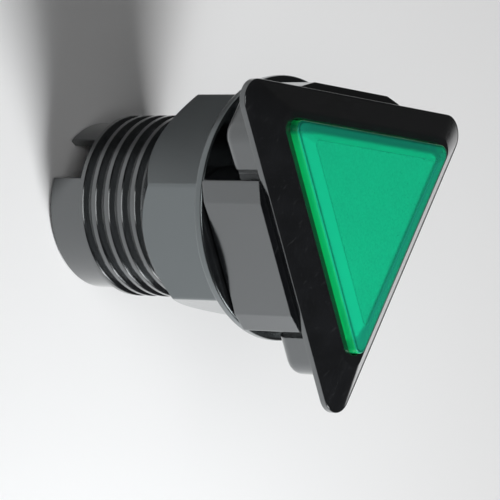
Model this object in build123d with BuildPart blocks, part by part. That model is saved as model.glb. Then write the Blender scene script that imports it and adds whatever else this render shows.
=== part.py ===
from build123d import *

import os
from math import cos, degrees, radians, sin

# An arcade push button with a triangular lens, held in a panel by a flanged nut.
# Millimetres. The origin lies on the barrel's axis, in the plane of the base that seats on the panel.
# +Z points out through the lens, and one corner of the triangle points along +Y.

# Barrel: the thread's crest is a true cylinder that passes a 24 mm panel hole.
barrel_radius = 12.0
bore_radius = 9.7
thread_pitch = 2.2
thread_depth = 0.9
thread_end = 25.6
groove_root_share = 0.3
groove_mouth_share = 0.62
crest_chamfer = 0.12
rear_band_length = 5.6
rear_band_step = 1.0
notch_width = 6.2
notch_depth = 5.0
rim_chamfer = 0.4

# Base behind the bezel: three side blocks that seat on the panel, three shallower corner blocks.
base_height = 9.2
side_block_apothem = 15.4
side_block_half_width = 10.5
side_block_bevel_run = 2.7
side_block_bevel_depth = 0.8
side_block_edge = 0.3
corner_block_apothem = 13.8
corner_block_reach = 21.4
corner_block_radius = 2.6
corner_block_depth = 4.8
corner_block_rear_fillet = 1.6
slot_width = 1.2
slot_depth = 1.5

# Bezel: an upright lip, then a frame that slopes up to the lens.
bezel_apothem = 14.4
bezel_corner_radius = 2.7
bezel_lip_height = 1.0
bezel_lip_step = 0.25
bezel_lip_edge = 0.18
bezel_slope_height = 2.2
bezel_land = 0.9
bezel_front_corner_radius = 1.8
bezel_front_fillet = 0.25

# Lens cap and the diffuser below it.
lens_apothem = 9.8
lens_corner_radius = 1.2
lens_clearance = 0.25
lens_rim_stand = 1.0
lens_bevel_run = 2.2
lens_bevel_height = 0.5
lens_front_corner_radius = 0.5
lens_rim_edge = 0.3
lens_roof = 1.9
lens_wall = 1.3
lens_skirt = 4.1
diffuser_thickness = 1.2
diffuser_gap = 0.05
seat_clearance = 0.15

# Plunger: tray, rim, tubular stem with two hooks, and the leg that works the switch.
stop_clearance = 0.2
tray_thickness = 1.2
tray_rim_wall = 1.0
stem_radius = 6.9
stem_wall = 1.0
stem_clearance = 0.12
hook_reach = 0.8
hook_height = 1.3
hook_angle = 46.0
hook_clearance = 0.1
stem_slit = 0.9
stem_slit_height = 4.0
leg_length = 1.75
leg_angle = 42.0
leg_width_angle = 24.0

# Guide web across the barrel, and the pocket for the return spring above it.
guide_top = -0.5
guide_length = 3.5
pocket_radius = 9.0
corner_floor = 1.2

# Return spring.
spring_wire = 0.7
spring_mean_radius = 7.75
spring_turns = 4.5
spring_wire_sides = 10

# Mounting nut.
nut_gap = 0.3
nut_flange_reach = 5.2
nut_flange_thickness = 1.3
nut_wall = 1.5
nut_hex_edge = 0.6
nut_turn = -5.0
nut_hex_height = 12.0
nut_chamfer_height = 3.0
nut_chamfer_inset = 0.3
nut_thread_clearance = 0.1
nut_flange_edge = 0.35

# Contact block in the barrel, held by a bead in a groove.
block_thickness = 4.2
block_clearance = 0.1
bead_width = 1.0
bead_height = 0.3
bead_clearance = 0.05
cradle_wall = 1.4
cradle_height = 4.4
peg_radius = 0.95
peg_length = 2.0
peg_clearance = 0.05

# Snap switch.
switch_length = 12.8
switch_width = 5.8
switch_case_height = 4.2
switch_cover_height = 2.3
switch_side_y = 1.2
switch_hole_spacing = 6.5
switch_hole_height = 1.6
switch_edge = 0.3
pin_radius = 0.8
pin_x = -2.4
pin_length = 3.9
pin_clearance = 0.05
pin_floor_gap = 0.2
lever_axis_x = -5.6
lever_axis_height = 1.1
lever_thickness = 0.4
lever_width = 3.0
lever_eye_bore = 0.55
lever_length = 11.6
lever_rest_angle = 10.0
lever_swing = 12.0
hinge_pin_radius = 0.5
ear_thickness = 0.8
ear_gap = 0.2
ear_half_width = 0.8
contact_clearance = 0.05

# Solder tabs.
tab_thickness = 0.5
switch_tab_width = 2.0
switch_tab_spacing = 5.0
lamp_tab_width = 2.8
tab_root = 1.5
tab_length = 3.8
tab_hole_radius = 0.6
tab_hole_inset = 1.2
tab_clearance = 0.05
tab_corner = 0.5

# Wedge lamp.
lamp_y = -4.2
led_radius = 2.5
led_height = 5.0
led_collar = 0.8
led_clearance = 0.5
lamp_flange_radius = 2.8
lamp_flange_thickness = 1.2
wedge_width = 5.0
wedge_thickness = 2.4
wedge_length = 6.0
lead_radius = 0.25
lead_length = 4.2
lead_inset = 0.4
contact_height = 3.2
lead_gap = 0.02
socket_radius = 4.2
socket_clearance = 0.2
socket_floor_gap = 0.1

# Heights worked out from the sizes above.
bezel_slope_z = base_height + bezel_lip_height
bezel_front_z = bezel_slope_z + bezel_slope_height
opening_apothem = lens_apothem + lens_clearance
opening_corner_radius = lens_corner_radius + lens_clearance
bezel_front_apothem = opening_apothem + bezel_land
corner_block_z = base_height - corner_block_depth
cavity_floor_z = corner_block_z + corner_floor
lens_rim_z = bezel_front_z + lens_rim_stand
lens_front_z = lens_rim_z + lens_bevel_height
lens_foot_z = lens_rim_z - lens_skirt
lens_inner_apothem = lens_apothem - lens_wall
diffuser_top_z = lens_front_z - lens_roof
diffuser_apothem = lens_inner_apothem - seat_clearance
diffuser_z = diffuser_top_z - diffuser_gap - diffuser_thickness
tray_z = lens_foot_z - tray_thickness
guide_bottom = guide_top - guide_length
hook_top_z = guide_bottom - hook_clearance
stem_foot_z = hook_top_z - hook_height
guide_radius = stem_radius + stem_clearance
stem_bore_radius = stem_radius - stem_wall
press_travel = tray_z - cavity_floor_z - stop_clearance
rear_band_radius = barrel_radius - rear_band_step
rear_z = -thread_end - rear_band_length
nut_flange_z = -nut_gap - nut_flange_thickness
nut_rear_z = nut_flange_z - nut_hex_height
nut_apothem = barrel_radius + nut_wall
nut_corner = nut_apothem / cos(radians(30))
nut_flange_radius = barrel_radius + nut_flange_reach

# The leg ends just above the lever's upper face, so the lever, the switch and the block hang from the leg.
leg_foot_z = stem_foot_z - leg_length
leg_outer_x = stem_radius * cos(radians(leg_angle - leg_width_angle / 2))
lever_slope = radians(lever_rest_angle)
lever_eye_radius = lever_eye_bore + lever_thickness
leg_reach = (leg_outer_x - lever_axis_x + lever_eye_radius * sin(lever_slope)) / cos(lever_slope)
lever_rise = leg_reach * sin(lever_slope) + lever_eye_radius * cos(lever_slope)
lever_axis_z = leg_foot_z - contact_clearance - lever_rise
switch_top_z = lever_axis_z - lever_axis_height
switch_split_z = switch_top_z - switch_cover_height
switch_y = switch_side_y + switch_width / 2
block_top = switch_split_z - switch_case_height
block_bottom = block_top - block_thickness
bead_z = (block_top + block_bottom) / 2
tab_end = block_bottom - tab_length

# The pin's dome lies under the lever's lower face, before and after the lever's swing.
pin_arm = pin_x - lever_axis_x
pin_offset = lever_eye_bore - pin_radius - contact_clearance
pressed_slope = radians(lever_rest_angle - lever_swing)
pin_dome_z = lever_axis_z + (pin_offset + pin_arm * sin(lever_slope)) / cos(lever_slope)
pin_pressed_z = lever_axis_z + (pin_offset + pin_arm * sin(pressed_slope)) / cos(pressed_slope)
pin_travel = pin_dome_z - pin_pressed_z
pin_foot_z = pin_dome_z + pin_radius - pin_length
pin_hole_z = pin_foot_z - pin_travel - pin_floor_gap

# The lamp stays below the stem when the button is fully pressed.
lamp_flange_top = stem_foot_z - press_travel - led_clearance - led_height
wedge_top = lamp_flange_top - lamp_flange_thickness
wedge_foot = wedge_top - wedge_length
lead_x = wedge_thickness / 2 + lead_gap + lead_radius
lamp_tab_x = lead_x + lead_radius + lead_gap + tab_thickness / 2
socket_floor_z = wedge_foot - socket_floor_gap


def rounded_triangle(apothem, corner_radius):
    """A triangle with rounded corners, one of them on +Y, measured from its centre to its sides."""
    with BuildSketch(mode=Mode.PRIVATE) as outline:
        with BuildLine():
            Polyline(*[(2 * apothem * cos(radians(a)), 2 * apothem * sin(radians(a))) for a in (90, 210, 330)],
                     close=True)
        make_face()
        fillet(outline.vertices(), corner_radius)
    return outline.sketch


def blunt_triangle(apothem, reach, corner_radius):
    """A triangle whose corners are cut off square at a reach from the centre, then rounded."""
    with BuildSketch(mode=Mode.PRIVATE) as outline:
        with BuildLine():
            Polyline(*[(2 * apothem * cos(radians(a)), 2 * apothem * sin(radians(a))) for a in (90, 210, 330)],
                     close=True)
        make_face()
        RegularPolygon(reach, 3, major_radius=False, rotation=-90, align=None, mode=Mode.INTERSECT)
        fillet(outline.vertices(), corner_radius)
    return outline.sketch


def ring_sector(inner, outer, middle_angle, spread):
    """A piece of a ring between two radii, centred on an angle."""
    first = radians(middle_angle - spread / 2)
    last = radians(middle_angle + spread / 2)
    half = radians(middle_angle)
    with BuildSketch(mode=Mode.PRIVATE) as outline:
        with BuildLine():
            ThreePointArc((outer * cos(first), outer * sin(first)), (outer * cos(half), outer * sin(half)),
                          (outer * cos(last), outer * sin(last)))
            Line((outer * cos(last), outer * sin(last)), (inner * cos(last), inner * sin(last)))
            ThreePointArc((inner * cos(last), inner * sin(last)), (inner * cos(half), inner * sin(half)),
                          (inner * cos(first), inner * sin(first)))
            Line((inner * cos(first), inner * sin(first)), (outer * cos(first), outer * sin(first)))
        make_face()
    return outline.sketch


def save(piece, name):
    """Label a finished piece and write it."""
    piece.part.label = name
    export_step(piece.part, f"parts/{name}.step")


os.makedirs("parts", exist_ok=True)

# Thread groove, cut later from the barrel. It starts behind the thread's end and runs in under the nut.
groove_start_z = -thread_end - thread_pitch / 2
groove_height = thread_end + thread_pitch / 2 - nut_gap - nut_flange_thickness
groove_root = thread_pitch * groove_root_share / 2
groove_mouth = thread_pitch * groove_mouth_share / 2
with BuildPart() as thread_groove:
    with BuildLine() as thread_path:
        Helix(thread_pitch, groove_height, barrel_radius, center=(0, 0, groove_start_z))
    groove_plane = Plane(thread_path.line @ 0, x_dir=(1, 0, 0), z_dir=thread_path.line % 0)
    with BuildSketch(groove_plane):
        with BuildLine():
            Polyline((-thread_depth, -groove_root), (-crest_chamfer, -groove_mouth),
                     (crest_chamfer, -groove_mouth - 2 * crest_chamfer),
                     (crest_chamfer, groove_mouth + 2 * crest_chamfer),
                     (-crest_chamfer, groove_mouth), (-thread_depth, groove_root), close=True)
        make_face()
    sweep(path=thread_path.line, is_frenet=True)

# One side block on +X, with bevelled ends and rounded edges.
block_flat = side_block_half_width - side_block_bevel_run
block_shoulder = side_block_apothem - side_block_bevel_depth
with BuildPart() as side_block:
    with BuildSketch():
        with BuildLine():
            Polyline((bore_radius, -side_block_half_width), (block_shoulder, -side_block_half_width),
                     (side_block_apothem, -block_flat), (side_block_apothem, block_flat),
                     (block_shoulder, side_block_half_width), (bore_radius, side_block_half_width), close=True)
        make_face()
    extrude(amount=base_height)
    fillet(side_block.edges().filter_by(Axis.Z), side_block_edge)
    fillet(side_block.faces().sort_by(Axis.Z)[0].edges(), side_block_edge)

# Bezel: the lip with rounded edges, and the sloped frame on it.
with BuildPart() as bezel:
    with BuildSketch(Plane.XY.offset(base_height)):
        add(rounded_triangle(bezel_apothem, bezel_corner_radius))
    extrude(amount=bezel_lip_height)
    fillet(bezel.faces().sort_by(Axis.Z)[0].edges(), bezel_lip_edge)
    fillet(bezel.faces().sort_by(Axis.Z)[-1].edges(), bezel_lip_edge)
    with BuildSketch(Plane.XY.offset(bezel_slope_z)):
        add(rounded_triangle(bezel_apothem - bezel_lip_step, bezel_corner_radius - bezel_lip_step))
    with BuildSketch(Plane.XY.offset(bezel_front_z)):
        add(rounded_triangle(bezel_front_apothem, bezel_front_corner_radius))
    loft(ruled=True)
    fillet(bezel.faces().sort_by(Axis.Z)[-1].edges(), bezel_front_fillet)

# Housing: bezel, base and threaded barrel in one moulding.
with BuildPart() as housing:
    with BuildSketch(Plane.XY.offset(corner_block_z)):
        add(blunt_triangle(corner_block_apothem, corner_block_reach, corner_block_radius))
    extrude(amount=corner_block_depth)
    fillet(housing.faces().sort_by(Axis.Z)[0].edges(), corner_block_rear_fillet)
    with BuildSketch(Plane.XY.offset(corner_block_z)):
        with PolarLocations(0, 3, start_angle=30):
            with GridLocations(0, 2 * side_block_half_width + slot_width, 1, 2):
                with Locations((corner_block_apothem, 0)):
                    Rectangle(2 * slot_depth, slot_width)
    extrude(amount=corner_block_depth, mode=Mode.SUBTRACT)
    with PolarLocations(0, 3, start_angle=30):
        add(side_block.part)
    with BuildSketch(Plane.XY.offset(-thread_end)):
        Circle(barrel_radius)
    extrude(amount=thread_end + base_height)
    with BuildSketch(Plane.XY.offset(rear_z)):
        Circle(rear_band_radius)
    extrude(amount=rear_band_length)
    chamfer(housing.faces().sort_by(Axis.Z)[0].edges(), rim_chamfer)
    add(bezel.part)
    with BuildSketch(Plane.XY.offset(cavity_floor_z)):
        add(rounded_triangle(opening_apothem, opening_corner_radius))
    extrude(amount=bezel_front_z - cavity_floor_z, mode=Mode.SUBTRACT)
    with BuildSketch(Plane.XY.offset(guide_top)):
        Circle(pocket_radius)
    extrude(amount=cavity_floor_z - guide_top, mode=Mode.SUBTRACT)
    with BuildSketch(Plane.XY.offset(guide_bottom)):
        Circle(guide_radius)
    extrude(amount=guide_length, mode=Mode.SUBTRACT)
    with BuildSketch(Plane.XY.offset(rear_z)):
        Circle(bore_radius)
    extrude(amount=guide_bottom - rear_z, mode=Mode.SUBTRACT)
    with BuildSketch(Plane.XY.offset(bead_z - bead_width / 2 - bead_clearance)):
        Circle(bore_radius - block_clearance + bead_height + bead_clearance)
    extrude(amount=bead_width + 2 * bead_clearance, mode=Mode.SUBTRACT)
    with BuildSketch(Plane.XY.offset(rear_z)):
        Rectangle(notch_width, 3 * barrel_radius)
    extrude(amount=notch_depth, mode=Mode.SUBTRACT)
    add(thread_groove.part, mode=Mode.SUBTRACT)

save(housing, "housing")

# Mounting nut: hexagon with a chamfered rear end, and a thin round flange towards the panel.
with BuildPart() as mounting_nut:
    with BuildSketch(Plane.XY.offset(nut_rear_z)) as hexagon:
        RegularPolygon(nut_apothem, 6, major_radius=False, rotation=nut_turn)
        fillet(hexagon.vertices(), nut_hex_edge)
    extrude(amount=nut_hex_height)
    with BuildSketch(Plane.XZ):
        with BuildLine():
            Polyline((0, nut_rear_z), (nut_apothem - nut_chamfer_inset, nut_rear_z),
                     (nut_corner, nut_rear_z + nut_chamfer_height), (nut_corner, nut_flange_z),
                     (0, nut_flange_z), close=True)
        make_face()
    revolve(axis=Axis.Z, mode=Mode.INTERSECT)
    with BuildSketch(Plane.XY.offset(nut_flange_z)):
        Circle(nut_flange_radius)
    extrude(amount=nut_flange_thickness)
    flange_rim = mounting_nut.edges().filter_by(GeomType.CIRCLE).sort_by(SortBy.RADIUS)[-2:]
    fillet(flange_rim, nut_flange_edge)
    with BuildSketch(Plane.XY.offset(nut_rear_z)):
        Circle(barrel_radius + nut_thread_clearance)
    extrude(amount=nut_hex_height + nut_flange_thickness, mode=Mode.SUBTRACT)

save(mounting_nut, "mounting_nut")

# Lens cap: a skirt and a roof with a broad bevel round its flat front.
with BuildPart() as lens_cap:
    with BuildSketch(Plane.XY.offset(lens_foot_z)):
        add(rounded_triangle(lens_apothem, lens_corner_radius))
    extrude(amount=lens_skirt)
    with BuildSketch(Plane.XY.offset(lens_rim_z)):
        add(rounded_triangle(lens_apothem, lens_corner_radius))
    with BuildSketch(Plane.XY.offset(lens_front_z)):
        add(rounded_triangle(lens_apothem - lens_bevel_run, lens_front_corner_radius))
    loft(ruled=True)
    lens_rim = lens_cap.edges().filter_by_position(Axis.Z, lens_rim_z - lens_rim_edge, lens_rim_z + lens_rim_edge)
    fillet(lens_rim, lens_rim_edge)
    with BuildSketch(Plane.XY.offset(lens_foot_z)):
        add(rounded_triangle(lens_inner_apothem, lens_front_corner_radius))
    extrude(amount=diffuser_top_z - lens_foot_z, mode=Mode.SUBTRACT)

save(lens_cap, "lens_cap")

# Diffuser plate, held between the lens's roof and the plunger's rim.
with BuildPart() as diffuser_plate:
    with BuildSketch(Plane.XY.offset(diffuser_z)):
        add(rounded_triangle(diffuser_apothem, lens_front_corner_radius))
    extrude(amount=diffuser_thickness)

save(diffuser_plate, "diffuser_plate")

# Plunger: the tray under the lens, and a tubular stem that light from the lamp passes through.
hook_places = (leg_angle + 90, leg_angle - 90)
slit_angle = hook_angle / 2 + degrees(stem_slit / stem_radius)
with BuildPart() as plunger:
    with BuildSketch(Plane.XY.offset(tray_z)):
        add(rounded_triangle(lens_apothem, lens_corner_radius))
    extrude(amount=tray_thickness)
    with BuildSketch(Plane.XY.offset(lens_foot_z)):
        add(rounded_triangle(diffuser_apothem, lens_front_corner_radius))
        add(rounded_triangle(diffuser_apothem - tray_rim_wall, lens_front_corner_radius), mode=Mode.SUBTRACT)
    extrude(amount=diffuser_z - lens_foot_z)
    with BuildSketch(Plane.XY.offset(stem_foot_z)):
        Circle(stem_radius)
    extrude(amount=tray_z - stem_foot_z)
    with BuildSketch(Plane.XY.offset(stem_foot_z)):
        for place in hook_places:
            add(ring_sector(stem_bore_radius, stem_radius + hook_reach, place, hook_angle))
    extrude(amount=hook_height)
    with BuildSketch(Plane.XY.offset(stem_foot_z)):
        for place in hook_places:
            for side in (-slit_angle, slit_angle):
                with PolarLocations(stem_radius, 1, start_angle=place + side):
                    Rectangle(2 * stem_wall + 2 * hook_reach, stem_slit)
    extrude(amount=stem_slit_height, mode=Mode.SUBTRACT)
    with BuildSketch(Plane.XY.offset(stem_foot_z)):
        Circle(stem_bore_radius)
    extrude(amount=lens_foot_z - stem_foot_z, mode=Mode.SUBTRACT)
    with BuildSketch(Plane.XY.offset(leg_foot_z)):
        add(ring_sector(stem_bore_radius, stem_radius, leg_angle, leg_width_angle))
    extrude(amount=leg_length + hook_height)

save(plunger, "plunger")

# Return spring, between the guide web and the tray. The wire's section is a polygon that keeps the coil light.
spring_height = tray_z - guide_top - spring_wire
with BuildPart() as return_spring:
    with BuildLine() as spring_path:
        Helix(spring_height / spring_turns, spring_height, spring_mean_radius,
              center=(0, 0, guide_top + spring_wire / 2))
    with BuildSketch(Plane(spring_path.line @ 0, x_dir=(1, 0, 0), z_dir=spring_path.line % 0)):
        RegularPolygon(spring_wire / 2, spring_wire_sides)
    sweep(path=spring_path.line, is_frenet=True)

save(return_spring, "return_spring")

# Contact block: a plug in the barrel with a cradle for the switch and a socket for the lamp.
block_radius = bore_radius - block_clearance
switch_tabs = (-switch_tab_spacing, 0, switch_tab_spacing)
with BuildPart() as contact_block:
    with BuildSketch(Plane.XY.offset(block_bottom)):
        Circle(block_radius)
    extrude(amount=block_thickness)
    with BuildSketch(Plane.XY.offset(bead_z - bead_width / 2)):
        Circle(block_radius + bead_height)
    extrude(amount=bead_width)
    with BuildSketch(Plane.XY.offset(block_top)):
        with Locations((0, switch_side_y - cradle_wall / 2)):
            Rectangle(switch_length, cradle_wall)
    extrude(amount=cradle_height)
    with BuildSketch(Plane.XY.offset(block_top)):
        with Locations((0, lamp_y)):
            Circle(socket_radius)
    extrude(amount=wedge_top - block_top)
    with BuildSketch(Plane.XZ.offset(-switch_side_y)):
        with GridLocations(switch_hole_spacing, 0, 2, 1):
            with Locations((0, block_top + switch_hole_height)):
                Circle(peg_radius)
    extrude(amount=-peg_length)
    with BuildSketch(Plane.XY.offset(socket_floor_z)):
        with Locations((0, lamp_y)):
            Rectangle(2 * lamp_tab_x + tab_thickness + 2 * tab_clearance, wedge_width + 2 * socket_clearance)
    extrude(amount=wedge_top - socket_floor_z, mode=Mode.SUBTRACT)
    with BuildSketch(Plane.XY.offset(block_bottom)):
        with Locations((0, lamp_y)):
            with GridLocations(2 * lamp_tab_x, 0, 2, 1):
                Rectangle(tab_thickness + 2 * tab_clearance, lamp_tab_width + 2 * tab_clearance)
        with Locations(*[(x, switch_y) for x in switch_tabs]):
            Rectangle(tab_thickness + 2 * tab_clearance, switch_tab_width + 2 * tab_clearance)
    extrude(amount=block_thickness, mode=Mode.SUBTRACT)

save(contact_block, "contact_block")

# Lamp: a wedge base with a round flange, and a clear domed body.
with BuildPart() as lamp_base:
    with BuildSketch(Plane.XY.offset(wedge_foot)):
        with Locations((0, lamp_y)):
            Rectangle(wedge_thickness, wedge_width)
    extrude(amount=wedge_length)
    chamfer(lamp_base.faces().sort_by(Axis.Z)[0].edges(), lead_inset)
    with BuildSketch(Plane.XY.offset(wedge_top)):
        with Locations((0, lamp_y)):
            Circle(lamp_flange_radius)
    extrude(amount=lamp_flange_thickness)

save(lamp_base, "lamp_base")

with BuildPart() as led_dome:
    with BuildSketch(Plane.XZ.offset(-lamp_y)):
        with BuildLine():
            led_shoulder = lamp_flange_top + led_height - led_radius
            Polyline((0, lamp_flange_top + led_height), (0, lamp_flange_top), (lamp_flange_radius, lamp_flange_top),
                     (lamp_flange_radius, lamp_flange_top + led_collar), (led_radius, lamp_flange_top + led_collar),
                     (led_radius, led_shoulder))
            RadiusArc((led_radius, led_shoulder), (0, lamp_flange_top + led_height), -led_radius)
        make_face()
    revolve(axis=Axis((0, lamp_y, 0), (0, 0, 1)))

save(led_dome, "led_dome")

# Wires folded against the wedge, and the sprung contacts that grip them, one of each on either side.
for side_name, side in (("left", -1), ("right", 1)):
    with BuildPart() as lamp_lead:
        with BuildSketch(Plane.XY.offset(wedge_foot + lead_inset)):
            with Locations((side * lead_x, lamp_y)):
                Circle(lead_radius)
        extrude(amount=lead_length)
    save(lamp_lead, f"lamp_lead_{side_name}")

    with BuildPart() as lamp_terminal:
        with BuildSketch(Plane.YZ.offset(side * lamp_tab_x - tab_thickness / 2)):
            with Locations((lamp_y, (tab_end + wedge_foot + contact_height) / 2)):
                Rectangle(lamp_tab_width, wedge_foot + contact_height - tab_end)
            with Locations((lamp_y, tab_end + tab_hole_inset)):
                Circle(tab_hole_radius, mode=Mode.SUBTRACT)
        extrude(amount=tab_thickness)
        chamfer(lamp_terminal.edges().filter_by(Axis.X).group_by(Axis.Z)[0], tab_corner)
    save(lamp_terminal, f"lamp_terminal_{side_name}")

# Snap switch: case, cover with the lever's hinge, pin, lever and three tabs.
with BuildPart() as switch_case:
    with BuildSketch(Plane.XY.offset(block_top)):
        with Locations((0, switch_y)):
            Rectangle(switch_length, switch_width)
    extrude(amount=switch_case_height)
    chamfer(switch_case.edges().filter_by(Axis.Z), switch_edge)
    with BuildSketch(Plane.XZ.offset(-switch_side_y)):
        with GridLocations(switch_hole_spacing, 0, 2, 1):
            with Locations((0, block_top + switch_hole_height)):
                Circle(peg_radius + peg_clearance)
    extrude(amount=-switch_width, mode=Mode.SUBTRACT)
    with BuildSketch(Plane.XY.offset(block_top)):
        with Locations(*[(x, switch_y) for x in switch_tabs]):
            Rectangle(tab_thickness + 2 * tab_clearance, switch_tab_width + 2 * tab_clearance)
    extrude(amount=tab_root + tab_clearance, mode=Mode.SUBTRACT)
    with BuildSketch(Plane.XY.offset(pin_hole_z)):
        with Locations((pin_x, switch_y)):
            Circle(pin_radius + pin_clearance)
    extrude(amount=switch_top_z - pin_hole_z, mode=Mode.SUBTRACT)

save(switch_case, "switch_case")

ear_offset = lever_width / 2 + ear_gap + ear_thickness / 2
with BuildPart() as switch_cover:
    with BuildSketch(Plane.XY.offset(switch_split_z)):
        with Locations((0, switch_y)):
            Rectangle(switch_length, switch_width)
    extrude(amount=switch_cover_height)
    chamfer(switch_cover.edges().filter_by(Axis.Z), switch_edge)
    chamfer(switch_cover.faces().sort_by(Axis.Z)[-1].edges(), switch_edge)
    for side in (-1, 1):
        with BuildSketch(Plane.XZ.offset(-switch_y - side * ear_offset)):
            with Locations((lever_axis_x, lever_axis_z)):
                Circle(ear_half_width)
            with Locations((lever_axis_x, lever_axis_z - lever_axis_height)):
                Rectangle(2 * ear_half_width, 2 * lever_axis_height)
        extrude(amount=ear_thickness / 2, both=True)
    with BuildSketch(Plane.XZ.offset(-switch_y)):
        with Locations((lever_axis_x, lever_axis_z)):
            Circle(hinge_pin_radius)
    extrude(amount=ear_offset, both=True)
    with BuildSketch(Plane.XY.offset(pin_hole_z)):
        with Locations((pin_x, switch_y)):
            Circle(pin_radius + pin_clearance)
    extrude(amount=switch_top_z - pin_hole_z, mode=Mode.SUBTRACT)

save(switch_cover, "switch_cover")

with BuildPart() as switch_pin:
    with BuildSketch(Plane.XZ.offset(-switch_y)):
        with BuildLine():
            Polyline((pin_x, pin_dome_z + pin_radius), (pin_x, pin_foot_z), (pin_x + pin_radius, pin_foot_z),
                     (pin_x + pin_radius, pin_dome_z))
            RadiusArc((pin_x + pin_radius, pin_dome_z), (pin_x, pin_dome_z + pin_radius), -pin_radius)
        make_face()
    revolve(axis=Axis((pin_x, switch_y, 0), (0, 0, 1)))

save(switch_pin, "switch_pin")

lever_plane = Plane((lever_axis_x, switch_y, lever_axis_z), x_dir=(cos(lever_slope), 0, sin(lever_slope)),
                    z_dir=(0, -1, 0))
with BuildPart() as switch_lever:
    with BuildSketch(lever_plane):
        Circle(lever_eye_radius)
        with Locations((lever_length / 2, lever_eye_bore + lever_thickness / 2)):
            Rectangle(lever_length, lever_thickness)
        Circle(lever_eye_bore, mode=Mode.SUBTRACT)
    extrude(amount=lever_width / 2, both=True)

save(switch_lever, "switch_lever")

for tab_name, tab_x in zip(("common", "closed", "open"), switch_tabs):
    with BuildPart() as switch_terminal:
        with BuildSketch(Plane.YZ.offset(tab_x - tab_thickness / 2)):
            with Locations((switch_y, (tab_end + block_top + tab_root) / 2)):
                Rectangle(switch_tab_width, block_top + tab_root - tab_end)
            with Locations((switch_y, tab_end + tab_hole_inset)):
                Circle(tab_hole_radius, mode=Mode.SUBTRACT)
        extrude(amount=tab_thickness)
        chamfer(switch_terminal.edges().filter_by(Axis.X).group_by(Axis.Z)[0], tab_corner)
    save(switch_terminal, f"terminal_{tab_name}")

print(f"length {lens_front_z - rear_z:.2f}, press travel {press_travel:.3f}, pin travel {pin_travel:.3f}")
print(f"spring from {guide_top:.2f} to {tray_z:.2f}, lever axis at {lever_axis_x:.2f}, {lever_axis_z:.4f}")
print(f"block {block_top:.2f} to {block_bottom:.2f}, tabs end at {tab_end:.2f}, rim at {rear_z:.2f}")
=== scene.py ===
# %% [markdown]
# # A triangular arcade push button
#
# The button is a green clear cap in a black triangular bezel. Behind the bezel a threaded barrel carries a
# flanged nut, and inside the barrel sit a spring, a lamp and a small lever switch. The solids come from the
# CAD frame at their real size, in metres. This script gives each solid its finish, winds the spring as
# round wire, and adds a floor, lights and a camera.

# %% Load the frame
from math import cos, pi, radians, sin, sqrt

import bpy
from mathutils import Matrix, Vector


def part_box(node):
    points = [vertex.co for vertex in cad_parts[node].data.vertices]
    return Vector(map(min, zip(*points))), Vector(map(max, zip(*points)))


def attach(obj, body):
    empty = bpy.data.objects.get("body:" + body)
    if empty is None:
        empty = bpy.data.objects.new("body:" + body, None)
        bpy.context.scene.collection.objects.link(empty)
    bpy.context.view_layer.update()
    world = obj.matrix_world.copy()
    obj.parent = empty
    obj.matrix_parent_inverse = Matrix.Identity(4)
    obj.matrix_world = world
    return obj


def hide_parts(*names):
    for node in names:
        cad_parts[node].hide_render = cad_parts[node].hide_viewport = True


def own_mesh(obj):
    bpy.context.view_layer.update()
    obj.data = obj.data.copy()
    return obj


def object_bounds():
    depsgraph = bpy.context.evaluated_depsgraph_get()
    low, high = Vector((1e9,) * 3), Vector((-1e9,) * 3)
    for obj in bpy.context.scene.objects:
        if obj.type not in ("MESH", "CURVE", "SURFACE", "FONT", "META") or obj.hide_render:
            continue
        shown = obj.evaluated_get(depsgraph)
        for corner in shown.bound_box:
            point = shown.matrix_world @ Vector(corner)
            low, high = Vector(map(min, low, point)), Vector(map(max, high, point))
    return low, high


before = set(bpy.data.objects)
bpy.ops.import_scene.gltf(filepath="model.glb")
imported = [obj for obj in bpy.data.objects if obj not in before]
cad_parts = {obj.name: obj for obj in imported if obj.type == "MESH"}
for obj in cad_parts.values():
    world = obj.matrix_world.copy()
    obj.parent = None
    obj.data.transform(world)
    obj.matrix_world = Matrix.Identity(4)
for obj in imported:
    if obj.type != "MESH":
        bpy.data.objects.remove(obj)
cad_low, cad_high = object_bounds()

mm = 0.001
scene = bpy.context.scene
scene.view_settings.view_transform = "Standard"
print("nodes", sorted(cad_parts))
print("CAD box in mm", [round(v / mm, 2) for v in cad_low], [round(v / mm, 2) for v in cad_high])

# %% [markdown]
# ## The camera
#
# The picture looks down on the near side with the button lying across the frame, so the barrel's axis runs
# to the right. The camera stands where a long lens would stand on a product table, about half a metre away.
# It is aimed at the middle of the button, and then rolled until the axis lies as it does in the picture.
# Rolling the camera is better than tipping the button over, because the button then keeps the frame of its
# CAD solids.

# %% Place the camera
camera_place = Vector((-230.6, 333.2, 313.0)) * mm
camera_aim = Vector((-4.0, -4.0, -6.7)) * mm
camera_roll = radians(91.5)
camera_data = bpy.data.cameras.new("product_camera")
camera_data.lens = 285.0
camera_data.sensor_width = 36.0
camera = bpy.data.objects.new("product_camera", camera_data)
scene.collection.objects.link(camera)
aim = (camera_aim - camera_place).to_track_quat("-Z", "Y").to_matrix().to_4x4()
camera.matrix_world = Matrix.Translation(camera_place) @ aim @ Matrix.Rotation(camera_roll, 4, "Z")
scene.camera = camera
print("camera distance in mm", round((camera_aim - camera_place).length / mm, 1))

# %% [markdown]
# ## Building materials from nodes
#
# Every finish below is a small tree of nodes. Four helpers keep the trees short: one adds a node with its
# settings, one starts a group with named inputs and outputs, one places such a group in a material, and one
# starts a material.

# %% Node helpers
def add_node(tree, kind, inputs=None, **settings):
    """Add a shader node, fill in its settings and the values of its named inputs."""
    node = tree.nodes.new(kind)
    for name, value in settings.items():
        setattr(node, name, value)
    for name, value in (inputs or {}).items():
        node.inputs[name].default_value = value
    return node


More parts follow.
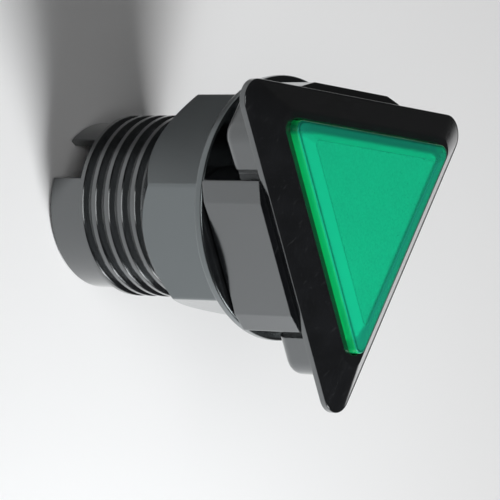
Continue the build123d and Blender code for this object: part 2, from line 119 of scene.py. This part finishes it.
def new_group(name, inputs, outputs):
    """Start a shader node group with named sockets and return it with its two end nodes."""
    group = bpy.data.node_groups.new(name, "ShaderNodeTree")
    for socket_name, start in inputs.items():
        socket = group.interface.new_socket(socket_name, in_out="INPUT", socket_type="NodeSocketFloat")
        socket.default_value = start
    for socket_name, kind in outputs.items():
        group.interface.new_socket(socket_name, in_out="OUTPUT", socket_type=kind)
    return group, group.nodes.new("NodeGroupInput"), group.nodes.new("NodeGroupOutput")


def place_group(tree, group, **values):
    """Put a node group into a material, with its own values."""
    node = tree.nodes.new("ShaderNodeGroup")
    node.node_tree = group
    for name, value in values.items():
        node.inputs[name.replace("_", " ")].default_value = value
    return node


def new_material(name):
    """An empty material with its tree and that tree's shader."""
    material = bpy.data.materials.new(name)
    material.use_nodes = True
    tree = material.node_tree
    shader = next(node for node in tree.nodes if node.type == "BSDF_PRINCIPLED")
    return material, tree, shader


print("node helpers ready")

# %% [markdown]
# ## The skin of a moulding
#
# Injection-moulded plastic copies the tool it was pressed in. The skin has a very fine grain, and the gloss
# drifts a little over a few millimetres where the plastic flowed and cooled at other speeds. An image could
# hold both, but two sizes of noise in object space need no unwrapping and keep their real scale on every
# piece. The group gives the relief, the slow drift as Cloud and the fine grain as Grain.

# %% Group: moulded skin
def make_moulded_skin():
    """Fine grain and slow flow marks: a relief, and a mask of each."""
    flow_share = 0.06
    grain_height = 0.75
    noise_middle = 0.5
    group, given, result = new_group("moulded_skin", {"Grain Scale": 5000.0},
                                     {"Height": "NodeSocketFloat", "Cloud": "NodeSocketFloat",
                                      "Grain": "NodeSocketFloat"})
    place = add_node(group, "ShaderNodeTexCoord")
    grain = add_node(group, "ShaderNodeTexNoise", {"Detail": 3.0, "Roughness": 0.6})
    group.links.new(place.outputs["Object"], grain.inputs["Vector"])
    group.links.new(given.outputs["Grain Scale"], grain.inputs["Scale"])
    flow_scale = add_node(group, "ShaderNodeMath", operation="MULTIPLY")
    flow_scale.inputs[1].default_value = flow_share
    group.links.new(given.outputs["Grain Scale"], flow_scale.inputs[0])
    flow = add_node(group, "ShaderNodeTexNoise", {"Detail": 2.0, "Roughness": 0.5})
    group.links.new(place.outputs["Object"], flow.inputs["Vector"])
    group.links.new(flow_scale.outputs[0], flow.inputs["Scale"])
    for noise, name, reach in ((flow, "Cloud", 0.2), (grain, "Grain", 0.3)):
        limits = {"From Min": noise_middle - reach, "From Max": noise_middle + reach}
        spread = add_node(group, "ShaderNodeMapRange", limits, interpolation_type="SMOOTHSTEP")
        group.links.new(noise.outputs["Fac"], spread.inputs["Value"])
        group.links.new(spread.outputs["Result"], result.inputs[name])
    height = add_node(group, "ShaderNodeMath", operation="MULTIPLY_ADD")
    height.inputs[1].default_value = grain_height
    group.links.new(grain.outputs["Fac"], height.inputs[0])
    group.links.new(flow.outputs["Fac"], height.inputs[2])
    group.links.new(height.outputs[0], result.inputs["Height"])
    return group


moulded_skin = make_moulded_skin()
print("group", moulded_skin.name, "with", len(moulded_skin.nodes), "nodes")

# %% [markdown]
# ## Hairline marks
#
# Parts that are tipped into a box rub against each other and pick up thin pale scratches. Noise that is
# stretched a lot along one direction, and then cut off near its top, leaves only a few such lines. Two of
# them at different slants look less regular than one.

# %% Group: hairline marks
def make_hairline_marks():
    """A mask of a few thin scratches at two slants."""
    cut_start = 0.68
    cut_full = 0.76
    tilt_share = 0.6
    depth_share = 0.5
    slants = ((0.5, 60.0, 2600.0), (-0.9, 90.0, 3400.0))
    group, given, result = new_group("hairline_marks", {"Amount": 0.5}, {"Mark": "NodeSocketFloat"})
    place = add_node(group, "ShaderNodeTexCoord")
    both = add_node(group, "ShaderNodeMath", operation="MAXIMUM")
    for side, (slant, length_scale, across_scale) in enumerate(slants):
        turned = add_node(group, "ShaderNodeMapping")
        turned.inputs["Rotation"].default_value = (slant, tilt_share * slant, slant)
        turned.inputs["Scale"].default_value = (length_scale, across_scale, depth_share * across_scale)
        group.links.new(place.outputs["Object"], turned.inputs["Vector"])
        streak = add_node(group, "ShaderNodeTexNoise", {"Scale": 1.0, "Detail": 2.0})
        group.links.new(turned.outputs["Vector"], streak.inputs["Vector"])
        cut = add_node(group, "ShaderNodeMapRange", {"From Min": cut_start, "From Max": cut_full})
        group.links.new(streak.outputs["Fac"], cut.inputs["Value"])
        group.links.new(cut.outputs["Result"], both.inputs[side])
    mark = add_node(group, "ShaderNodeMath", operation="MULTIPLY")
    group.links.new(both.outputs[0], mark.inputs[0])
    group.links.new(given.outputs["Amount"], mark.inputs[1])
    group.links.new(mark.outputs[0], result.inputs["Mark"])
    return group


hairline_marks = make_hairline_marks()
print("group", hairline_marks.name, "with", len(hairline_marks.nodes), "nodes")

# %% [markdown]
# ## Edges
#
# No moulding has a perfectly sharp edge, and an edge is where handling shows first. A Bevel node looks at
# the surface within a small radius and gives the averaged normal. Where that normal leaves the true one
# there is an edge, so the same node gives both a softer normal and an edge mask. On the opaque plastics the
# mask pales rubbed edges, which is wear; on the clear cap it places a painted dark line, which is painted
# shade. Start and Full say how far the two normals must part before the mask begins and before it is whole.

# %% Group: edge wear and shade
def make_edge_wear_and_shade():
    """A mask of the edges and a normal that is rounded across them."""
    group, given, result = new_group("edge_wear_and_shade", {"Radius": 0.15 * mm, "Start": 0.985, "Full": 0.8},
                                     {"Edge": "NodeSocketFloat", "Normal": "NodeSocketVector"})
    soft = add_node(group, "ShaderNodeBevel", samples=6)
    group.links.new(given.outputs["Radius"], soft.inputs["Radius"])
    true = add_node(group, "ShaderNodeNewGeometry")
    agree = add_node(group, "ShaderNodeVectorMath", operation="DOT_PRODUCT")
    group.links.new(soft.outputs["Normal"], agree.inputs[0])
    group.links.new(true.outputs["Normal"], agree.inputs[1])
    edge = add_node(group, "ShaderNodeMapRange")
    group.links.new(agree.outputs["Value"], edge.inputs["Value"])
    group.links.new(given.outputs["Start"], edge.inputs["From Min"])
    group.links.new(given.outputs["Full"], edge.inputs["From Max"])
    group.links.new(edge.outputs["Result"], result.inputs["Edge"])
    group.links.new(soft.outputs["Normal"], result.inputs["Normal"])
    return group


edge_wear_and_shade = make_edge_wear_and_shade()
print("group", edge_wear_and_shade.name, "with", len(edge_wear_and_shade.nodes), "nodes")

# %% [markdown]
# ## Steps that every finish shares
#
# A plastic, a clear plastic and a metal are all painted in the same few steps. Two shades are mixed by a
# mask, the gloss drifts between two values, and the skin's relief is pressed in as a bump. Each step is one
# function, so that a recipe reads as a list of what was done to the real piece.

# %% Steps of a finish
def mix_shades(tree, share, under, over):
    """Mix two shades by a mask. A shade is three numbers or the socket of an earlier mix."""
    mix = add_node(tree, "ShaderNodeMix", data_type="RGBA")
    tree.links.new(share, mix.inputs["Factor"])
    for name, shade in (("A", under), ("B", over)):
        if isinstance(shade, tuple):
            mix.inputs[name].default_value = (*shade, 1.0)
        else:
            tree.links.new(shade, mix.inputs[name])
    return mix.outputs["Result"]


def drift_gloss(tree, shader, drift, gloss):
    """Let the roughness drift between two values."""
    rough = add_node(tree, "ShaderNodeMapRange", {"To Min": gloss[0], "To Max": gloss[1]})
    tree.links.new(drift, rough.inputs["Value"])
    tree.links.new(rough.outputs["Result"], shader.inputs["Roughness"])


def press_relief(tree, shader, skin, strength, depth, normal=None):
    """Press the skin's relief into the surface, over a given normal if there is one."""
    bump = add_node(tree, "ShaderNodeBump", {"Strength": strength, "Distance": depth})
    tree.links.new(skin.outputs["Height"], bump.inputs["Height"])
    if normal is not None:
        tree.links.new(normal, bump.inputs["Normal"])
    tree.links.new(bump.outputs["Normal"], shader.inputs["Normal"])


print("steps of a finish ready")

# %% [markdown]
# ## Opaque plastics
#
# All the opaque mouldings share one recipe: the colour drifts between two close shades, rubbed edges and
# hairlines are paler, the gloss drifts with the flow, and the grain is a bump.

# %% Recipe for moulded plastic
def moulded_plastic(name, deep, pale, rubbed, gloss, grain_scale=5000.0, grain_depth=0.02 * mm, wear=0.4,
                    specular=0.5, index=1.5, coat=0.0, sheen=(1.0, 1.0, 1.0)):
    """A plastic that drifts from a deep to a pale shade, with rubbed edges, hairlines and a grained skin."""
    edge_radius = 0.18 * mm
    material, tree, shader = new_material(name)
    skin = place_group(tree, moulded_skin, Grain_Scale=grain_scale)
    marks = place_group(tree, hairline_marks, Amount=wear)
    edges = place_group(tree, edge_wear_and_shade, Radius=edge_radius)
    rub = add_node(tree, "ShaderNodeMath", operation="MULTIPLY_ADD", use_clamp=True)
    rub.inputs[1].default_value = wear
    tree.links.new(edges.outputs["Edge"], rub.inputs[0])
    tree.links.new(marks.outputs["Mark"], rub.inputs[2])
    drifting = mix_shades(tree, skin.outputs["Cloud"], deep, pale)
    worn = mix_shades(tree, rub.outputs[0], drifting, rubbed)
    tree.links.new(worn, shader.inputs["Base Color"])
    drift_gloss(tree, shader, skin.outputs["Cloud"], gloss)
    press_relief(tree, shader, skin, strength=0.5, depth=grain_depth, normal=edges.outputs["Normal"])
    shader.inputs["Specular IOR Level"].default_value = specular
    shader.inputs["IOR"].default_value = index
    shader.inputs["Specular Tint"].default_value = (*sheen, 1.0)
    shader.inputs["Coat Weight"].default_value = coat
    shader.inputs["Coat Roughness"].default_value = 0.1
    return material


print("recipe for moulded plastic ready")

# %% [markdown]
# ## The two blacks
#
# The housing and the nut are black, and next to all that is seen of them is what they mirror: white floor
# on their sides and dark air on the slopes of the bezel. So both have a nearly black base under a strong,
# narrow gloss, with a clear coat for the polish of the tool. A wide gloss would spread the lamps over the
# slopes and make them grey. The nut is a little duller and its sheen a little cooler.

# %% Black plastics
housing_black = moulded_plastic(
    "housing_black", deep=(0.0036, 0.0038, 0.0046), pale=(0.0060, 0.0063, 0.0076), rubbed=(0.050, 0.052, 0.055),
    gloss=(0.12, 0.14), grain_depth=0.03 * mm, specular=1.0, index=1.7, coat=0.75, sheen=(0.93, 0.98, 1.0))
nut_black = moulded_plastic(
    "nut_black", deep=(0.0060, 0.0063, 0.0070), pale=(0.010, 0.0105, 0.0115), rubbed=(0.054, 0.056, 0.059),
    gloss=(0.17, 0.20), grain_depth=0.035 * mm, specular=1.0, index=1.8, coat=0.75, sheen=(0.86, 0.97, 1.0))
print("black plastics", housing_black.name, nut_black.name)

# %% [markdown]
# ## The plastics inside
#
# The cap's carrier and the lamp's base are white, to throw light forward. The plate under the cap is a
# duller white with a coarser grain, which scatters the lamp's light into an even field. The contact block
# and the switch are dull black and dark grey, and the switch's pin is red.

# %% Inner plastics
carrier_white = moulded_plastic(
    "carrier_white", deep=(0.70, 0.70, 0.68), pale=(0.80, 0.80, 0.78), rubbed=(0.86, 0.86, 0.84),
    gloss=(0.42, 0.55), wear=0.2)
diffuser_white = moulded_plastic(
    "diffuser_white", deep=(0.78, 0.80, 0.80), pale=(0.86, 0.87, 0.86), rubbed=(0.9, 0.9, 0.9),
    gloss=(0.6, 0.75), grain_scale=4000.0, grain_depth=0.05 * mm, wear=0.1)
block_black = moulded_plastic(
    "block_black", deep=(0.016, 0.016, 0.018), pale=(0.026, 0.026, 0.028), rubbed=(0.05, 0.05, 0.05),
    gloss=(0.45, 0.58))
switch_grey = moulded_plastic(
    "switch_grey", deep=(0.022, 0.023, 0.026), pale=(0.034, 0.035, 0.038), rubbed=(0.07, 0.07, 0.07),
    gloss=(0.4, 0.52))
pin_red = moulded_plastic(
    "pin_red", deep=(0.46, 0.03, 0.025), pale=(0.58, 0.05, 0.04), rubbed=(0.66, 0.12, 0.1), gloss=(0.36, 0.48))
inner_plastics = (carrier_white, diffuser_white, block_black, switch_grey, pin_red)
print("inner plastics", [plastic.name for plastic in inner_plastics])

# %% [markdown]
# ## Light through clear plastic
#
# The cap is tinted clear plastic over a white plate, so lamp light has to pass it twice to come back green.
# A path tracer sends a shadow ray straight from the plate to the lamp, and such a ray stops at glass.
# Caustics would solve that slowly and with noise. Instead the material gives shadow rays alone a tinted
# see-through shader. The tint is the square root of the colour, because a straight ray crosses two faces of
# the wall.

# %% Shadow rays through a clear wall
def let_light_through(tree, shader, tint):
    """Let lamp light pass a clear wall: a shadow ray meets a tinted veil in place of the glass."""
    output = next(node for node in tree.nodes if node.type == "OUTPUT_MATERIAL")
    ray = add_node(tree, "ShaderNodeLightPath")
    veil = add_node(tree, "ShaderNodeBsdfTransparent")
    veil.inputs["Color"].default_value = (*(sqrt(part) for part in tint), 1.0)
    choose = add_node(tree, "ShaderNodeMixShader")
    tree.links.new(ray.outputs["Is Shadow Ray"], choose.inputs["Fac"])
    tree.links.new(shader.outputs["BSDF"], choose.inputs[1])
    tree.links.new(veil.outputs["BSDF"], choose.inputs[2])
    tree.links.new(choose.outputs["Shader"], output.inputs["Surface"])


print("step for shadow rays ready")

# %% [markdown]
# ## Painted glow by slope
#
# On the real cap the flat front is an even green, the bevels round it are a little brighter and the upright
# wall is a clearer, yellower green, most likely because light runs along inside the wall and leaves at the
# rim. Many bounces of light might give this in the end. It is cheaper to paint that light into the colour:
# the bevels and the wall get a brighter painted glow by the slope of the surface, so the painted glow stays
# in place from every side. The height of the object-space normal tells flat, bevel and wall apart.

# %% Painted glow on bevels and walls
def paint_glow_by_slope(tree, height, flat, bevel_glow, wall_glow):
    """Paint a brighter glow on bevels and upright walls, by how far the surface leans from flat."""
    flatness = add_node(tree, "ShaderNodeMath", operation="ABSOLUTE")
    tree.links.new(height, flatness.inputs[0])
    bevel_lean = (0.995, 0.98)
    wall_lean = (0.7, 0.3)
    shade = flat
    for tint, (begins, whole) in ((bevel_glow, bevel_lean), (wall_glow, wall_lean)):
        slant = add_node(tree, "ShaderNodeMapRange", {"From Min": begins, "From Max": whole})
        tree.links.new(flatness.outputs[0], slant.inputs["Value"])
        shade = mix_shades(tree, slant.outputs["Result"], shade, tint)
    return shade


print("step for slopes ready")

# %% [markdown]
# ## A painted dark line along the front edges
#
# Where the flat meets a bevel, and a bevel the wall, a clear cap shows a thin dark line: the edge bends
# light away from the eye. That shade is painted into the colour here. The edge mask finds these places with
# a wide radius and a fine start. The mask is kept off the upright wall, which is so low that it would be
# dark all over.

# %% Painted shade line on the front edges
def paint_front_edge_shade(tree, height, shade, edge_shade_tint):
    """Paint shade along the edges of the faces that look forward."""
    front_begins = 0.85
    front_whole = 0.93
    # Here the edge mask places painted shade, not wear.
    edges = place_group(tree, edge_wear_and_shade, Radius=0.7 * mm, Start=0.9985, Full=0.975)
    front = add_node(tree, "ShaderNodeMapRange", {"From Min": front_begins, "From Max": front_whole})
    tree.links.new(height, front.inputs["Value"])
    edge_shade_mask = add_node(tree, "ShaderNodeMath", operation="MULTIPLY")
    tree.links.new(edges.outputs["Edge"], edge_shade_mask.inputs[0])
    tree.links.new(front.outputs["Result"], edge_shade_mask.inputs[1])
    return mix_shades(tree, edge_shade_mask.outputs[0], shade, edge_shade_tint)


print("step for front edges ready")

# %% [markdown]
# ## Clear plastics
#
# The cap's field isn't quite even: the plate's grain shows through as a very fine mottle, so the tint
# follows the skin's Grain. Part of the light is transmitted and the rest comes back from within the
# plastic, as in a slightly milky moulding. The gleam is tinted, so that a mirrored lamp looks greener on
# the cap. The LED's resin uses the same recipe with nearly no colour.

# %% Recipe for clear plastic
def clear_plastic(name, deep, pale, bevel_glow, wall_glow, gloss, clear, gleam):
    """A clear plastic with a fine mottle, a painted glow on bevels and walls, a painted dark line on front
    edges and a drifting polish.
    """
    edge_shade_depth = 0.2
    material, tree, shader = new_material(name)
    skin = place_group(tree, moulded_skin, Grain_Scale=3500.0)
    place = add_node(tree, "ShaderNodeTexCoord")
    facing = add_node(tree, "ShaderNodeSeparateXYZ")
    tree.links.new(place.outputs["Normal"], facing.inputs["Vector"])
    flat = mix_shades(tree, skin.outputs["Grain"], deep, pale)
    # The bevels and the wall get a brighter painted glow.
    glow_painted = paint_glow_by_slope(tree, facing.outputs["Z"], flat, bevel_glow, wall_glow)
    # Painted shade: the colour of the dark line on the front edges.
    edge_shade_tint = tuple(edge_shade_depth * part for part in deep)
    edge_shaded = paint_front_edge_shade(tree, facing.outputs["Z"], glow_painted, edge_shade_tint)
    tree.links.new(edge_shaded, shader.inputs["Base Color"])
    drift_gloss(tree, shader, skin.outputs["Cloud"], gloss)
    press_relief(tree, shader, skin, strength=0.2, depth=0.01 * mm)
    shader.inputs["Transmission Weight"].default_value = clear
    shader.inputs["IOR"].default_value = 1.49
    shader.inputs["Specular Tint"].default_value = (*gleam, 1.0)
    let_light_through(tree, shader, pale)
    return material


# The bevel and wall colours are painted glow, brighter and clearer than the flat.
lens_green = clear_plastic(
    "lens_green", deep=(0.017, 0.51, 0.33), pale=(0.026, 0.635, 0.415), bevel_glow=(0.021, 0.67, 0.43),
    wall_glow=(0.015, 0.82, 0.29), gloss=(0.06, 0.10), clear=0.6, gleam=(0.5, 1.0, 0.75))
led_clear = clear_plastic(
    "led_clear", deep=(0.90, 0.93, 0.91), pale=(0.95, 0.97, 0.95), bevel_glow=(0.94, 0.96, 0.94),
    wall_glow=(0.93, 0.95, 0.93), gloss=(0.05, 0.1), clear=1.0, gleam=(1.0, 1.0, 1.0))
print("clear plastics", lens_green.name, led_clear.name)

# %% [markdown]
# ## Metals
#
# The spring is drawn wire, the lever is rolled strip and the tabs are stamped brass. Each keeps fine lines
# from its making. The same stretched noise that draws hairlines, with more of it let through, varies the
# roughness.

# %% Recipe for worked metal
def worked_metal(name, deep, pale, gloss):
    """A metal with a drifting colour, whose gloss follows fine lines left by drawing, rolling or stamping."""
    material, tree, shader = new_material(name)
    skin = place_group(tree, moulded_skin, Grain_Scale=7000.0)
    marks = place_group(tree, hairline_marks, Amount=0.8)
    drifting = mix_shades(tree, skin.outputs["Cloud"], deep, pale)
    tree.links.new(drifting, shader.inputs["Base Color"])
    drift_gloss(tree, shader, marks.outputs["Mark"], gloss)
    press_relief(tree, shader, skin, strength=0.3, depth=0.01 * mm)
    shader.inputs["Metallic"].default_value = 1.0
    return material


wire_steel = worked_metal("wire_steel", deep=(0.50, 0.50, 0.51), pale=(0.62, 0.62, 0.63), gloss=(0.22, 0.4))
strip_steel = worked_metal("strip_steel", deep=(0.56, 0.56, 0.56), pale=(0.66, 0.66, 0.66), gloss=(0.26, 0.45))
tab_brass = worked_metal("tab_brass", deep=(0.62, 0.45, 0.22), pale=(0.74, 0.56, 0.30), gloss=(0.25, 0.42))
print("metals", wire_steel.name, strip_steel.name, tab_brass.name)

# %% [markdown]
# ## The return spring
#
# A compression spring is a round wire with a closed coil at each end and an open pitch between. A swept
# tube or a screw modifier could make it. A curve with a round bevel is used, because it gives true round
# wire from one list of points, and those points follow from the turns. The spring's height and width come
# from the CAD solid.

# %% Lay out the coils
spring_low, spring_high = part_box("return_spring")
wire_radius = 0.35 * mm
coil_radius = spring_high[0] - wire_radius
coil_steps = 40
end_turns = 0.75
open_turns = 3.5
all_turns = open_turns + 2 * end_turns
wind_low = spring_low[2] + wire_radius
wind_high = spring_high[2] - wire_radius
end_pitch = 1.7 * wire_radius
end_rise = end_turns * end_pitch
open_rise = wind_high - wind_low - 2 * end_rise


def coil_height(turn):
    """The height of the wire's middle after so many turns from the foot."""
    if turn < end_turns:
        return wind_low + end_rise * turn / end_turns
    if turn > all_turns - end_turns:
        return wind_high - end_rise * (all_turns - turn) / end_turns
    return wind_low + end_rise + open_rise * (turn - end_turns) / open_turns


print("coils", all_turns, "open pitch in mm", round(open_rise / open_turns / mm, 2))

# %% Wind the spring
spring_curve = bpy.data.curves.new("spring_wire", "CURVE")
spring_curve.dimensions = "3D"
wire = spring_curve.splines.new("POLY")
point_count = int(all_turns * coil_steps) + 1
wire.points.add(point_count - 1)
for step in range(point_count):
    turn = step / coil_steps
    angle = 2 * pi * turn
    wire.points[step].co = (coil_radius * cos(angle), coil_radius * sin(angle), coil_height(turn), 1.0)
spring_curve.bevel_depth = wire_radius
spring_curve.bevel_resolution = 3
spring_curve.use_fill_caps = True
spring_curve.materials.append(wire_steel)
wound = bpy.data.objects.new("spring_winding", spring_curve)
scene.collection.objects.link(wound)
wound_now = wound.evaluated_get(bpy.context.evaluated_depsgraph_get())
spring_mesh = bpy.data.meshes.new_from_object(wound_now)
bpy.data.objects.remove(wound)
spring_piece = bpy.data.objects.new("spring_wire", spring_mesh)
scene.collection.objects.link(spring_piece)
print("spring wound in", point_count, "steps with", len(spring_mesh.polygons), "faces")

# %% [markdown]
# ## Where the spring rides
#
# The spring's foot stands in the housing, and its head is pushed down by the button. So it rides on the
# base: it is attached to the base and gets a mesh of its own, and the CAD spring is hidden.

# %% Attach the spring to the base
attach(spring_piece, "base")
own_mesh(spring_piece)
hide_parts("return_spring")

# %% [markdown]
# ## Dressing the solids
#
# The CAD solids already have their true outlines, thread and rounded edges, so they stay as they are. A
# copy of each could be dressed in its place, but the finish on the solid's own material slot does the same
# with nothing to keep in step.

# %% Give each solid its finish
finishes = {
    "housing": housing_black, "mounting_nut": nut_black, "lens_cap": lens_green,
    "diffuser_plate": diffuser_white, "plunger": carrier_white, "contact_block": block_black,
    "lamp_base": carrier_white, "led_dome": led_clear, "lamp_lead_left": wire_steel,
    "lamp_lead_right": wire_steel, "lamp_terminal_left": tab_brass, "lamp_terminal_right": tab_brass,
    "switch_case": switch_grey, "switch_cover": switch_grey, "switch_pin": pin_red, "switch_lever": strip_steel,
    "terminal_common": tab_brass, "terminal_closed": tab_brass, "terminal_open": tab_brass,
}
for node_name, finish in finishes.items():
    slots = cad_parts[node_name].data.materials
    slots.clear()
    slots.append(finish)
print("finished", len(finishes), "solids")

# %% [markdown]
# ## The floor
#
# The button stands on a plain pale floor that is wide enough to fill the picture. It is the background too,
# and it is what the black sides mirror. Its colour is just under white, so that the lamps can stay low and
# the button's shadow still shows.

# %% Lay the floor
floor_reach = 2.0
floor_height = cad_low[2]
floor_colour = (0.93, 0.93, 0.93)
floor_roughness = 0.9
floor_signs = ((-1, -1), (1, -1), (1, 1), (-1, 1))
floor_corners = [(floor_reach * x, floor_reach * y, floor_height) for x, y in floor_signs]
floor_mesh = bpy.data.meshes.new("floor")
floor_mesh.from_pydata(floor_corners, [], [(0, 1, 2, 3)])
floor = bpy.data.objects.new("floor", floor_mesh)
scene.collection.objects.link(floor)
floor_paint, _, floor_shader = new_material("floor_white")
floor_shader.inputs["Base Color"].default_value = (*floor_colour, 1.0)
floor_shader.inputs["Roughness"].default_value = floor_roughness
floor_mesh.materials.append(floor_paint)
print("floor at mm", round(floor_height / mm, 2))

# %% [markdown]
# ## Light
#
# Black plastic is lit by lighting what it mirrors. The key light is large and stands about a metre off, a
# quarter turn round the button from the camera. It whitens the floor on the near side, and the floor behind
# stays in shadow for the upper faces of the nut to mirror. The near light is small and close, and adds to
# the floor beside the barrel. The mirror image of either would hide the green cap from some sides, so both
# are kept out of reflections, as a polarising filter does in a studio. The gleam light stands just before
# the key light and is mirrored. It is weak, and gives the thread and the rims their glints. The two don't
# share one place: in a trial where they did, most of the glints were lost. The front light hangs over the
# camera for the cap and the side block.

# %% Light the scene
light_aim = Vector((0.0, 0.0, -5.0)) * mm


def soft_light(name, place, size, power, colour=(1.0, 1.0, 1.0), mirrored=True):
    """A square soft light that faces the middle of the button."""
    data = bpy.data.lights.new(name, "AREA")
    data.size = size
    data.energy = power
    data.color = colour
    lamp = bpy.data.objects.new(name, data)
    lamp.location = place
    lamp.rotation_euler = (light_aim - Vector(place)).to_track_quat("-Z", "Y").to_euler()
    lamp.visible_camera = False
    lamp.visible_glossy = mirrored
    scene.collection.objects.link(lamp)
    return lamp


lamps = [
    soft_light("key_light", place=(-0.66, -0.58, 0.68), size=0.40, power=9.4, mirrored=False),
    soft_light("gleam_light", place=(-0.63, -0.554, 0.65), size=0.40, power=2.2),
    soft_light("near_light", place=(-0.088, -0.055, 0.05), size=0.05, power=0.047, colour=(0.93, 0.97, 1.0),
               mirrored=False),
    soft_light("front_light", place=(-0.24, 0.38, 0.52), size=0.35, power=0.9),
]
print("lights", [(lamp.name, round(lamp.data.energy, 3)) for lamp in lamps])

# %% [markdown]
# ## The sky
#
# An even white sky fills the shadows. It is weak, because the slopes of the bezel mirror it and have to
# stay black.

# %% Fill with an even sky
sky_strength = 0.035
world = bpy.data.worlds.new("studio")
world.use_nodes = True
sky = next(node for node in world.node_tree.nodes if node.type == "BACKGROUND")
sky.inputs["Color"].default_value = (1.0, 1.0, 1.0, 1.0)
sky.inputs["Strength"].default_value = sky_strength
scene.world = world
print("sky strength", sky_strength)
